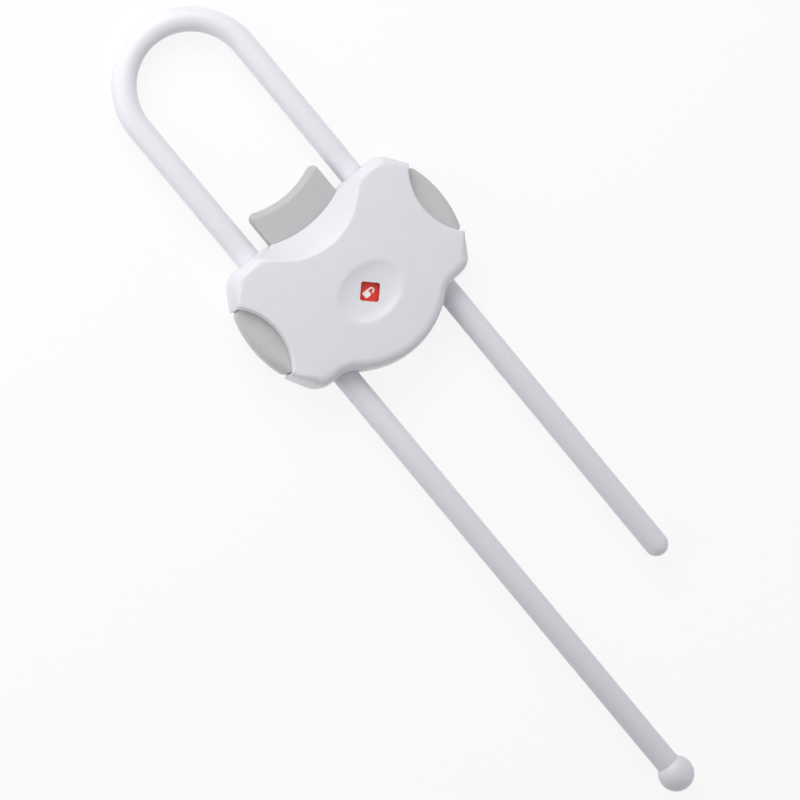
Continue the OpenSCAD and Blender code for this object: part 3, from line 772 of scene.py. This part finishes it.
class SAFETYLOCK_OT_springs(bpy.types.Operator):
    """Makes the tab's spring and the two button springs"""

    bl_idname = "safety_lock.springs"
    bl_label = "Springs"

    def execute(self, context):
        low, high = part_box("tab_spring")
        start = Vector(((low.x + high.x) / 2, low.y, (low.z + high.z) / 2))
        along = Vector((0, high.y - low.y, 0))
        self.wind("tab_spring", start, along, (high.x - low.x) / 2, sizes().tab_turns, "tab_push")
        for side, sign in (("left", -1), ("right", 1)):
            low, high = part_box(side + "_button_spring")
            inner = high.x if sign < 0 else low.x
            start = Vector((inner, (low.y + high.y) / 2, (low.z + high.z) / 2))
            along = Vector((sign * (high.x - low.x), 0, 0))
            outer, turns = (high.y - low.y) / 2, sizes().button_turns
            self.wind(side + "_button_spring", start, along, outer, turns, side + "_button_press")
        return {"FINISHED"}

    def wind(self, node, start, along, outer, turns, joint):
        """Winds a wire from a spring's fixed end, with closed end turns. The joint argument is not used.
        """
        wire, steps = sizes().wire, sizes().turn_steps
        line = along.normalized()
        spoke = Vector((0, 0, 1))
        turn = Matrix((spoke, line, spoke.cross(line))).transposed().to_4x4()
        place = Matrix.Translation(start + line * wire / 2 + spoke * (outer - wire / 2))
        bm = bmesh.new()
        bmesh.ops.create_circle(bm, segments=sizes().wire_sides, radius=wire / 2, matrix=place @ turn)
        first = rim = list(bm.edges)
        closed = wire * CLOSED_PITCH
        open_pitch = (along.length - wire - 2 * closed) / (turns - 2)
        for count, pitch in ((1, closed), (turns - 2, open_pitch), (1, closed)):
            made = bmesh.ops.spin(
                bm, geom=rim, cent=start, axis=line, dvec=line * pitch / steps,
                angle=FULL_TURN * count, steps=steps * count,
            )
            rim = edges_in(made["geom_last"])
        bmesh.ops.holes_fill(bm, edges=first)
        bmesh.ops.holes_fill(bm, edges=rim)
        bmesh.ops.recalc_face_normals(bm, faces=bm.faces)
        finish = finish_named("spring_wire", steel, colours().steel, roughness=0.28, grain=0.12 * MM)
        coil = finished(bm, node + "_coil", finish, "housing", (node,))
        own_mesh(coil)


class SAFETYLOCK_OT_jaws(bpy.types.Operator):
    """Finishes the two clamp jaws and their rubber pads"""

    bl_idname = "safety_lock.jaws"
    bl_label = "Jaws"

    def execute(self, context):
        rubber = finish_named(
            "jaw_rubber", moulded, colours().rubber, roughness=0.7, grain=0.2 * MM, depth=0.02 * MM
        )
        for side in ("left", "right"):
            dress(side + "_jaw", inner_finish())
            dress(side + "_jaw_pad", rubber)
        return {"FINISHED"}


class SAFETYLOCK_OT_stage(bpy.types.Operator):
    """Sets the camera, the lamps, the white surroundings and the floor"""

    bl_idname = "safety_lock.stage"
    bl_label = "Stage"

    def execute(self, context):
        scene = context.scene
        scene.view_settings.view_transform = "Standard"
        self.set_camera(scene)
        for name, place in LAMP_PLACES.items():
            self.hang_lamp(scene, name + "_lamp", getattr(studio(), name + "_power"), place)
        self.surround(scene)
        self.lay_floor(scene)
        return {"FINISHED"}

    def set_camera(self, scene):
        """The camera, where the photo was taken from."""
        eye = bpy.data.cameras.new("photo_camera")
        eye.lens = studio().lens
        eye.sensor_width = SENSOR_WIDTH_MM
        camera = bpy.data.objects.new("photo_camera", eye)
        camera.location = studio().camera_place
        camera.rotation_euler = studio().camera_turn
        scene.collection.objects.link(camera)
        scene.camera = camera

    def hang_lamp(self, scene, name, power, place):
        """A large soft lamp that faces the upper part of the body."""
        data = bpy.data.lights.new(name, "AREA")
        data.shape = "DISK"
        data.energy = power
        data.size = LAMP_SIZE
        lamp = bpy.data.objects.new(name, data)
        lamp.location = place
        lamp.rotation_euler = (LAMP_AIM - Vector(place)).to_track_quat("-Z", "Y").to_euler()
        scene.collection.objects.link(lamp)

    def surround(self, scene):
        """Even light from all round, which the camera sees as plain white."""
        world = bpy.data.worlds.new("white_surroundings")
        world.use_nodes = True
        tree = world.node_tree
        add = adder(tree)
        even = tree.nodes["Background"]
        even.inputs["Color"].default_value = (*studio().ambient_colour, OPAQUE)
        even.inputs["Strength"].default_value = studio().ambient
        white = add("ShaderNodeBackground", Color=(1, 1, 1, OPAQUE))
        both = add("ShaderNodeMixShader", {0: ray_share(add), 1: even.outputs[0], 2: white.outputs[0]})
        tree.links.new(both.outputs[0], tree.nodes["World Output"].inputs["Surface"])
        scene.world = world

    def lay_floor(self, scene):
        """A wide floor just under the lock."""
        bm = bmesh.new()
        bmesh.ops.create_grid(bm, x_segments=1, y_segments=1, size=FLOOR_REACH)
        bmesh.ops.translate(bm, verts=bm.verts, vec=(0, 0, CAD_BOX[0].z - FLOOR_GAP))
        mesh = bpy.data.meshes.new("pale_floor")
        bm.to_mesh(mesh)
        bm.free()
        mesh.materials.append(floor_finish())
        floor = bpy.data.objects.new("pale_floor", mesh)
        scene.collection.objects.link(floor)


class SAFETYLOCK_PT_parts(bpy.types.Panel):
    """Lists the lock's pieces, sizes, colours and stage"""

    bl_idname = "SAFETYLOCK_PT_parts"
    bl_label = "Safety lock"
    bl_space_type = "VIEW_3D"
    bl_region_type = "UI"
    bl_category = "Safety lock"

    def draw(self, context):
        for operator in OPERATORS:
            self.layout.operator(operator.bl_idname)
        for group in (sizes(), colours(), studio()):
            box = self.layout.box()
            for key in group.__annotations__:
                box.prop(group, key)


GROUPS = (SAFETYLOCK_PG_sizes, SAFETYLOCK_PG_colours, SAFETYLOCK_PG_studio)
OPERATORS = (
    SAFETYLOCK_OT_stage,
    SAFETYLOCK_OT_shackle,
    SAFETYLOCK_OT_stop_ball,
    SAFETYLOCK_OT_covers,
    SAFETYLOCK_OT_screws,
    SAFETYLOCK_OT_indicator,
    SAFETYLOCK_OT_signs,
    SAFETYLOCK_OT_slider,
    SAFETYLOCK_OT_buttons,
    SAFETYLOCK_OT_springs,
    SAFETYLOCK_OT_jaws,
)
CLASSES = GROUPS + OPERATORS + (SAFETYLOCK_PT_parts,)


def register():
    for kind in CLASSES:
        bpy.utils.register_class(kind)
    scene = bpy.types.Scene
    scene.safety_lock_sizes = bpy.props.PointerProperty(type=SAFETYLOCK_PG_sizes)
    scene.safety_lock_colours = bpy.props.PointerProperty(type=SAFETYLOCK_PG_colours)
    scene.safety_lock_studio = bpy.props.PointerProperty(type=SAFETYLOCK_PG_studio)


def unregister():
    scene = bpy.types.Scene
    del scene.safety_lock_sizes, scene.safety_lock_colours, scene.safety_lock_studio
    for kind in reversed(CLASSES):
        bpy.utils.unregister_class(kind)


def main():
    register()
    bpy.ops.safety_lock.stage()
    bpy.ops.safety_lock.shackle()
    bpy.ops.safety_lock.stop_ball()
    bpy.ops.safety_lock.covers()
    bpy.ops.safety_lock.screws()
    bpy.ops.safety_lock.indicator()
    bpy.ops.safety_lock.signs()
    bpy.ops.safety_lock.slider()
    bpy.ops.safety_lock.buttons()
    bpy.ops.safety_lock.springs()
    bpy.ops.safety_lock.jaws()


if __name__ == "__main__":
    main()
